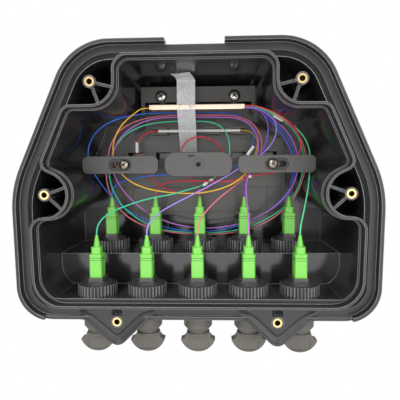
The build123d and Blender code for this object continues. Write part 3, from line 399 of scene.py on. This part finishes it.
def grip_groove_painted_shade(material):
    """Two moulded grooves across each connector's grip, in both port rows, drawn as lines of painted shade.
    """
    tree = material.node_tree
    height = repeated(tree, "Z", GRIP_LINES_Z, ROW_RISE)
    lines = [maths(tree, "COMPARE", height, level, half) for level, half in GRIP_LINES]
    recolour(material, maths(tree, "ADD", *lines), GRIP_SHADE_GREEN)


def knurl_highlight_and_shade(material):
    """Painted highlight on the ridge tips round each nut and painted shade in the grooves between them."""
    tree = material.node_tree
    across = maths(tree, "SUBTRACT", repeated(tree, "X", -PORT_PITCH / 2, PORT_PITCH), PORT_PITCH / 2)
    deep = maths(tree, "SUBTRACT", repeated(tree, "Y", FRONT_ROW_Y - ROW_GAP / 2, ROW_GAP), ROW_GAP / 2)
    squares = maths(tree, "MULTIPLY_ADD", across, across, maths(tree, "MULTIPLY", deep, deep))
    radius = maths(tree, "SQRT", squares)
    groove = maths(tree, "COMPARE", radius, NUT_GROOVE_RADIUS, NUT_GROOVE_HALF)
    recolour(material, maths(tree, "MULTIPLY", groove, 0.9), GROOVE_PAINTED_SHADE)
    recolour(material, maths(tree, "GREATER_THAN", radius, NUT_TIP_RADIUS), TIP_PAINTED_HIGHLIGHT)


def slot_floor_painted_shade(material):
    """The sunk floors of the two arms' slots, dull and dark with painted shade."""
    tree = material.node_tree
    place = axes(tree)
    along = maths(tree, "COMPARE", maths(tree, "ABSOLUTE", place["X"]), SLOT_X * MM, SLOT_HALF_X * MM)
    up = maths(tree, "COMPARE", place["Z"], SLOT_Z * MM, SLOT_HALF_Z * MM)
    sunk = maths(tree, "GREATER_THAN", place["Y"], SLOT_RIM_Y * MM)
    mask = maths(tree, "MULTIPLY", sunk, maths(tree, "MULTIPLY", along, up))
    recolour(material, maths(tree, "MULTIPLY", mask, 0.85), SLOT_SHADE_BROWN)


def seen_as_background(tree):
    """One for camera, glossy and transmission rays, and none for the rays that light the part."""
    path = tree.nodes.new("ShaderNodeLightPath")
    mirrored = maths(tree, "MAXIMUM", path.outputs["Is Glossy Ray"], path.outputs["Is Transmission Ray"])
    return maths(tree, "MAXIMUM", path.outputs["Is Camera Ray"], mirrored)


def dress(name, material):
    node = nodes[name]
    node.data.materials.clear()
    node.data.materials.append(material)


def mesh_piece(name, verts, faces, material, smooth=False):
    mesh = bpy.data.meshes.new(name)
    mesh.from_pydata([tuple(v) for v in verts], [], faces)
    mesh.update()
    for polygon in mesh.polygons:
        polygon.use_smooth = smooth
    piece = bpy.data.objects.new(name, mesh)
    bpy.context.scene.collection.objects.link(piece)
    piece.data.materials.append(material)
    return piece


def block(centre, along, side, up, sizes):
    """Corners and faces of a box on three directions."""
    half = [Vector(d).normalized() * s / 2 for d, s in zip((along, side, up), sizes)]
    verts = []
    for i in (-1, 1):
        for j in (-1, 1):
            for k in (-1, 1):
                verts.append(Vector(centre) + half[0] * i + half[1] * j + half[2] * k)
    faces = [(0, 1, 3, 2), (4, 6, 7, 5), (0, 4, 5, 1), (2, 3, 7, 6), (0, 2, 6, 4), (1, 5, 7, 3)]
    return verts, faces


def quads(rows, columns):
    """Faces of a sheet, whose rows have one point more than it has columns."""
    for row in range(rows):
        for column in range(columns):
            a = row * (columns + 1) + column
            yield a, a + 1, a + columns + 2, a + columns + 1


def eased(share):
    """None to one with soft ends."""
    share = min(1.0, max(0.0, share))
    return share * share * (3 - 2 * share)


# Finishes
black = housing_finish()
# An edge value pales the sharp edges: painted highlight along with wear
trim_black = surface("fitting black", (0.032, 0.032, 0.034), 0.28, grain=1400, bump=0.06, edge=0.16)
nut_black = surface("nut black", (0.028, 0.028, 0.030), 0.24, grain=900, bump=0.05, edge=0.45)
grey = surface("retainer grey", (0.070, 0.066, 0.062), 0.42, grain=1600, bump=0.12, edge=0.16)
tray_black = surface("tray black", (0.052, 0.048, 0.042), 0.30, grain=1200, bump=0.06, edge=0.18)
green = surface("connector green", (0.19, 0.60, 0.08), 0.36, grain=1100, bump=0.05, vary=0.08)
rubber = surface("cap rubber", (0.115, 0.107, 0.092), 0.55, grain=1500, bump=0.10, vary=0.10)
seal = surface("seal rubber", (0.018, 0.018, 0.018), 0.7)
brass = surface("insert brass", (0.62, 0.45, 0.20), 0.26, metallic=1.0, grain=700, bump=0.10)
steel = surface("screw steel", (0.52, 0.50, 0.47), 0.20, metallic=1.0, grain=600, bump=0.06)
bronze = surface("arm screw steel", (0.26, 0.22, 0.18), 0.24, metallic=1.0, grain=600, bump=0.06)
tube = surface("splitter steel", (0.70, 0.57, 0.45), 0.34, metallic=1.0, grain=300, bump=0.08,
               stretch=(0.1, 4, 4))
# Near-black for the screws' cross recesses: painted shade
dark = surface("cross recess painted shade", (0.012, 0.011, 0.010), 0.5)
paper = surface("flag white", (0.95, 0.95, 0.97), 0.45, grain=1200, bump=0.10, vary=0.05)
sleeve = clear_finish("sleeve clear", (0.95, 0.93, 0.88), 0.04, 0.12, 0.05)
film = clear_finish("tape film", (0.96, 0.95, 0.99), 0.38, 0.10, 0.35)

grip_groove_painted_shade(green)
slot_floor_painted_shade(grey)
knurl_highlight_and_shade(nut_black)

finishes = {
    "housing": black, "cover_inserts": brass, "adapter_nuts": nut_black, "adapter_seals": seal,
    "splice_tray": tray_black, "left_arm": grey, "right_arm": grey, "centre_retainer": grey,
    "arm_screws": bronze, "tray_screws": steel, "splitter": tube, "splice_sleeve": sleeve, "tape": film,
}
for number in range(1, 11):
    finishes[f"adapter_{number}"] = trim_black
    finishes[f"dust_cap_{number}"] = rubber
    finishes[f"connector_{number}"] = green
for name, finish in finishes.items():
    dress(name, finish)

# Fibres, as curves on the solid model's points
for name, points in ROUTES.items():
    jacket = surface(name + " jacket", FIBRE_COLOURS[name], 0.38, grain=500, bump=0.03, vary=0.10)
    dress(name, jacket)
    curve = bpy.data.curves.new(name + "_fibre", "CURVE")
    curve.dimensions = "3D"
    curve.bevel_depth = FIBRE_RADIUS
    curve.bevel_resolution = 2
    curve.resolution_u = 6
    curve.use_fill_caps = True
    spline = curve.splines.new("NURBS")
    spline.points.add(len(points) - 1)
    for spot, point in zip(spline.points, points):
        spot.co = (point[0] * MM, point[1] * MM, point[2] * MM, 1)
    spline.order_u = 3
    spline.use_endpoint_u = True
    fibre = bpy.data.objects.new(name + "_fibre", curve)
    bpy.context.scene.collection.objects.link(fibre)
    curve.materials.append(jacket)
    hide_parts(name)
    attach(fibre, "base")

# White flags folded round a fibre
for index, (name, at, share, length) in enumerate(FLAGS, 1):
    first, last = Vector(ROUTES[name][at]) * MM, Vector(ROUTES[name][at + 1]) * MM
    along = (last - first).normalized()
    side = along.cross(Vector((0, 1, 0))).normalized()
    sizes = (length * MM, FLAG_WIDTH, FLAG_THICKNESS)
    verts, faces = block(first.lerp(last, share), along, side, along.cross(side), sizes)
    flag = mesh_piece(f"fibre_flag_{index}", verts, faces, paper)
    edge = flag.modifiers.new("edge", "BEVEL")
    edge.width = FLAG_ROUNDING
    edge.segments = 2
    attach(flag, "base")


def tape_rows():
    """Depth and height of each row of the tape, from its loose end."""
    for (y1, z1), (y2, z2) in zip(TAPE_PATH, TAPE_PATH[1:]):
        for step in range(ROWS_PER_SPAN):
            share = step / ROWS_PER_SPAN
            yield y1 + (y2 - y1) * share, z1 + (z2 - z1) * share
    yield TAPE_PATH[-1]


# Clear tape, crinkled by sines of unrelated lengths, with a folded, drooping loose end
verts = []
for row, (y, z) in enumerate(tape_rows()):
    loose = max(0.0, 1 - row / LOOSE_ROWS)
    folded = max(0.0, 1 - row / FOLDED_ROWS)
    for column in range(TAPE_COLUMNS + 1):
        u = column / TAPE_COLUMNS
        wave = math.sin(9 * u + 0.21 * row) * math.sin(0.33 * row + 4 * u)
        wave += 0.6 * math.sin(23 * u - 0.47 * row)
        fold = folded * math.sin(14 * u + 0.8 * row)
        droop = LOOSE_DROOP * loose * (1 + math.sin(5 * u + 0.9 * row))
        x = TAPE_LEFT + TAPE_WIDTH * u - LOOSE_LEAN * loose
        depth = y + TAPE_GAP + WAVE_DEPTH * wave + FOLD_DEPTH * fold
        verts.append((x * MM, depth * MM, (z - droop) * MM))
spans = ROWS_PER_SPAN * (len(TAPE_PATH) - 1)
tape = mesh_piece("tape_film", verts, list(quads(spans, TAPE_COLUMNS)), film, smooth=True)
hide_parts("tape")
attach(tape, "base")

# Screw heads: name, head radius, rise of the crown, arm of the cross as a share of the radius, metal
HEADS = [("tray_screw", 4.0 * MM, 0.7 * MM, 1.0, steel), ("arm_screw", 3.2 * MM, 0.5 * MM, 0.85, bronze)]
CROWN_SHARE = 0.96
CROWN_SKIRT = 0.9 * MM
CROWN_TOP = 0.01 * MM
CROWN_RINGS = 7
CROWN_SIDES = 32
CROSS_TURN = 0.6
CROSS_WIDTH = 0.26
CROSS_THICKNESS = 0.4 * MM
CROSS_PROUD = 0.03 * MM


def pair_of_heads(node, radius):
    """Middles of a pair of screw heads, and the depth of their faces."""
    low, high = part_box(node)
    return (low[0] + radius, high[0] - radius), low[1], (low[2] + high[2]) / 2


def crowns(name, radius, rise, finish):
    """Crowned tops on a pair of screw heads."""
    middles, front, level = pair_of_heads(name + "s", radius)
    verts, faces = [], []
    for middle in middles:
        first = len(verts)
        for ring in range(CROWN_RINGS):
            lean = 0.5 * math.pi * ring / (CROWN_RINGS - 1)
            reach = radius * CROWN_SHARE * math.cos(lean) + CROWN_TOP
            y = front + CROWN_SKIRT - (rise + CROWN_SKIRT) * math.sin(lean)
            for step in range(CROWN_SIDES):
                turn = 2 * math.pi * step / CROWN_SIDES
                verts.append((middle + reach * math.cos(turn), y, level + reach * math.sin(turn)))
        for ring in range(CROWN_RINGS - 1):
            start = first + ring * CROWN_SIDES
            for step in range(CROWN_SIDES):
                a, b = start + step, start + (step + 1) % CROWN_SIDES
                faces.append((a, b, b + CROWN_SIDES, a + CROWN_SIDES))
        top = first + (CROWN_RINGS - 1) * CROWN_SIDES
        faces.append(tuple(range(top, top + CROWN_SIDES)))
    piece = mesh_piece(name + "_domes", verts, faces, finish, smooth=True)
    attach(piece, "base")


def crosses(name, radius, rise, arm):
    """Cross recesses in the crowns of a pair of screw heads, as blocks dark with painted shade."""
    middles, front, level = pair_of_heads(name + "s", radius)
    verts, faces = [], []
    for middle in middles:
        centre = (middle, front - rise - CROSS_PROUD + CROSS_THICKNESS / 2, level)
        for turn in (CROSS_TURN, CROSS_TURN + math.pi / 2):
            along = (math.cos(turn), 0, math.sin(turn))
            side = (-math.sin(turn), 0, math.cos(turn))
            sizes = (radius * arm, radius * CROSS_WIDTH, CROSS_THICKNESS)
            some, more = block(centre, along, side, (0, 1, 0), sizes)
            faces += [tuple(i + len(verts) for i in face) for face in more]
            verts += some
    piece = mesh_piece(name + "_recesses", verts, faces, dark)
    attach(piece, "base")


for name, radius, rise, arm, finish in HEADS:
    crowns(name, radius, rise, finish)
for name, radius, rise, arm, finish in HEADS:
    crosses(name, radius, rise, arm)

# Ears, in mm: middle line, height of the flange's edge over them, half widths there, and tip
EAR_X = 46.3
EAR_Z = -79.0
EAR_IN, EAR_OUT = 17.5, 19.0
EAR_TIP = -96.2
EDGE_LEFT, EDGE_RIGHT = -28.0, 30.0
# How far each corner moves across and up for each mm inward, and its rounding
IN_SHIFT, TIP_SHIFT, OUT_SHIFT = Vector((0.41, 1.0)), Vector((0.03, 1.37)), Vector((-0.385, 1.0))
ROOT_CUT, TIP_CUT, LEAST_CUT = 2.1, 6.5, 0.6
IN_GROWTH, OUT_GROWTH = 0.41, 0.39
RUN_STEPS = 8
# Lip and channel: distance inward, depth on the ear, and depth on the plain flange
LIP_LEVELS = [
    (0.0, -86.5, -86.5), (0.0, -88.7, -87.9), (0.35, -89.1, -87.9), (1.1, -89.1, -87.9),
    (1.4, -88.7, -87.9), (1.7, -88.04, -85.9), (6.2, -88.04, -85.9),
]
FADE_REACH, FADE_RUN = 24.0, 8.0
# Land inside the channel: its grid, the directions inward from its two sides, and its depths
LAND_STEP, LAND_COLUMNS = 0.5, 88
LAND_LOW, LAND_HIGH = -88.5, -71.5
IN_SLOPE, OUT_SLOPE = Vector((0.701, 0.713)), Vector((-0.671, 0.741))
TIP_SOFTNESS, ROOT_SOFTNESS = 1.2, 1.5
LAND_EDGE = 3.4
STEP_START, STEP_RUN, STEP_HEIGHT = 4.6, 1.2, 1.1
CHANNEL_Y, FLANGE_Y = -87.9, -85.9
LAND_FALL = 0.04
INSERT_Z, INSERT_CLEAR = -79.8, 3.0
NOTCH_HALF, NOTCH_LOW, NOTCH_HIGH = 3.0, -76.0, -72.0


def ear_edge(inset):
    """The ear's outline moved inward, as points out from its middle line and up."""
    corners = [
        Vector((EDGE_LEFT, EAR_Z + inset)),
        Vector((-EAR_IN, EAR_Z)) + IN_SHIFT * inset,
        Vector((0.0, EAR_TIP)) + TIP_SHIFT * inset,
        Vector((EAR_OUT, EAR_Z)) + OUT_SHIFT * inset,
        Vector((EDGE_RIGHT, EAR_Z + inset)),
    ]
    cuts = [ROOT_CUT + IN_GROWTH * inset, max(LEAST_CUT, TIP_CUT - inset), ROOT_CUT + OUT_GROWTH * inset]
    shares = [step / RUN_STEPS for step in range(RUN_STEPS)]
    points, last = [], corners[0]
    for before, here, after, cut in zip(corners, corners[1:], corners[2:], cuts):
        enter = here + (before - here).normalized() * cut
        leave = here + (after - here).normalized() * cut
        points += [last.lerp(enter, s) for s in shares]
        points += [enter.lerp(here, s).lerp(here.lerp(leave, s), s) for s in shares]
        last = leave
    return points + [last.lerp(corners[-1], s) for s in shares] + [corners[-1]]


def fade(across):
    """One over the ear, falling to none where the plain flange begins."""
    return eased((FADE_REACH - abs(across)) / FADE_RUN)


def ear_lip(name, side):
    """The lip and channel round an ear, running out to the plain flange's on both sides."""
    verts = []
    for inset, level, flange in LIP_LEVELS:
        for point in ear_edge(inset):
            y = flange + (level - flange) * fade(point.x)
            verts.append((side * (EAR_X + point.x) * MM, y * MM, point.y * MM))
    columns = len(verts) // len(LIP_LEVELS) - 1
    faces = [face[::side] for face in quads(len(LIP_LEVELS) - 1, columns)]
    lip = mesh_piece(f"ear_lip_{name}", verts, faces, black, smooth=True)
    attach(lip, "base")


def land_inset(x, z):
    """Distance in from the nearer side of the ear, rounded at its tip and root."""
    inner = IN_SLOPE.x * (x + EAR_IN) + IN_SLOPE.y * (z - EAR_Z)
    outer = OUT_SLOPE.x * (x - EAR_OUT) + OUT_SLOPE.y * (z - EAR_Z)
    inset = -TIP_SOFTNESS * math.log(math.exp(-inner / TIP_SOFTNESS) + math.exp(-outer / TIP_SOFTNESS))
    return ROOT_SOFTNESS * math.log(math.exp(inset / ROOT_SOFTNESS) + math.exp((z - EAR_Z) / ROOT_SOFTNESS))


def opening(x, z):
    """True over the insert and over the notch above it."""
    return math.hypot(x, z - INSERT_Z) < INSERT_CLEAR or (abs(x) < NOTCH_HALF and NOTCH_LOW < z < NOTCH_HIGH)


def ear_land(name, side):
    """The raised face inside the channel, with room for the insert and its notch."""
    rows = round((LAND_HIGH - LAND_LOW) / LAND_STEP)
    verts, insets = [], []
    for row in range(rows + 1):
        for column in range(LAND_COLUMNS + 1):
            x, z = (column - LAND_COLUMNS / 2) * LAND_STEP, LAND_LOW + row * LAND_STEP
            inset = land_inset(x, z)
            insets.append(inset)
            level = CHANNEL_Y - STEP_HEIGHT * eased((inset - STEP_START) / STEP_RUN)
            level -= LAND_FALL * max(0.0, z - EAR_Z)
            y = FLANGE_Y + (level - FLANGE_Y) * fade(x)
            verts.append((side * (EAR_X + x) * MM, y * MM, z * MM))
    faces = []
    for face in quads(rows, LAND_COLUMNS):
        row, column = divmod(face[0], LAND_COLUMNS + 1)
        x, z = (column + 0.5 - LAND_COLUMNS / 2) * LAND_STEP, LAND_LOW + (row + 0.5) * LAND_STEP
        if insets[face[0]] > LAND_EDGE and not opening(x, z):
            faces.append(face[::side])
    land = mesh_piece(f"ear_front_{name}", verts, faces, black, smooth=True)
    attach(land, "base")


for name, side in (("left", -1), ("right", 1)):
    ear_lip(name, side)
    ear_land(name, side)

# Floor, light and background
FLOOR_DROP = 0.40
FLOOR_REACH = 3.0
PART_LIGHT, BACKGROUND_LIGHT = 0.42, 1.0
WHITE = (1, 1, 1, 1)

scene = bpy.context.scene
floor_z = start_bounds[0][2] - FLOOR_DROP
pale, tree, shader = new_material("pale floor")
tree.links.new(shades(tree, noise(tree, 4.0), (0.80, 0.80, 0.80), 0.02), shader.inputs["Base Color"])
tree.links.new(spread(tree, noise(tree, 6.0), 0.6, 0.7), shader.inputs["Roughness"])
glow = tree.nodes.new("ShaderNodeEmission")
glow.inputs["Color"].default_value = WHITE
mix = tree.nodes.new("ShaderNodeMixShader")
tree.links.new(seen_as_background(tree), mix.inputs["Fac"])
tree.links.new(shader.outputs["BSDF"], mix.inputs[1])
tree.links.new(glow.outputs["Emission"], mix.inputs[2])
tree.links.new(mix.outputs["Shader"], tree.nodes["Material Output"].inputs["Surface"])
corners = [(-1, -1), (1, -1), (1, 1), (-1, 1)]
verts = [(x * FLOOR_REACH, y * FLOOR_REACH, floor_z) for x, y in corners]
floor = mesh_piece("floor", verts, [(0, 1, 2, 3)], pale)
floor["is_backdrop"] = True

world = bpy.data.worlds.new("soft white")
world.use_nodes = True
scene.world = world
sky = world.node_tree
back = sky.nodes["Background"]
back.inputs["Color"].default_value = WHITE
strength = spread(sky, seen_as_background(sky), PART_LIGHT, BACKGROUND_LIGHT)
sky.links.new(strength, back.inputs["Strength"])


def lamp(name, place, target, size, power):
    """A rectangular lamp turned to its target, sizes in metres and power in watts."""
    light = bpy.data.lights.new(name, "AREA")
    light.shape = "RECTANGLE"
    light.size, light.size_y = size
    light.energy = power
    piece = bpy.data.objects.new(name, light)
    scene.collection.objects.link(piece)
    piece.location = place
    piece.rotation_euler = (Vector(target) - Vector(place)).to_track_quat("-Z", "Y").to_euler()


lamp("key", (-0.45, -0.75, 0.65), (0, 0, 0), (0.5, 0.5), 5.2)
lamp("fill", (0.65, -0.70, 0.25), (0, 0, 0), (0.5, 0.6), 3.4)
lamp("top", (0.0, -0.10, 0.90), (0, -0.03, 0), (0.7, 0.5), 4.2)
lamp("front", (0.0, -0.80, -0.13), (0, -0.05, -0.04), (0.95, 0.55), 3.0)

# Camera, fitted to the photograph
CAMERA_PLACE = (0.01151, -0.3218, 0.00917)
YAW, PITCH, ROLL = math.radians(2.24), math.radians(4.48), math.radians(-0.42)
forward = Vector((-math.sin(YAW) * math.cos(PITCH), math.cos(YAW) * math.cos(PITCH), -math.sin(PITCH)))
right = Vector((math.cos(YAW), math.sin(YAW), 0))
up = right.cross(forward)
tilted = right * math.cos(ROLL) + up * math.sin(ROLL)
upright = up * math.cos(ROLL) - right * math.sin(ROLL)
lens = bpy.data.cameras.new("camera")
lens.sensor_width = 36.0
lens.lens = 37.33
lens.clip_start = 0.01
camera = bpy.data.objects.new("camera", lens)
scene.collection.objects.link(camera)
turned = Matrix((tilted, upright, -forward)).transposed().to_4x4()
camera.matrix_world = Matrix.Translation(CAMERA_PLACE) @ turned
scene.camera = camera

scene.view_settings.view_transform = "Standard"

end_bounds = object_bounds()
sizes = {"cad": [list(v) for v in start_bounds], "scene": [list(v) for v in end_bounds]}
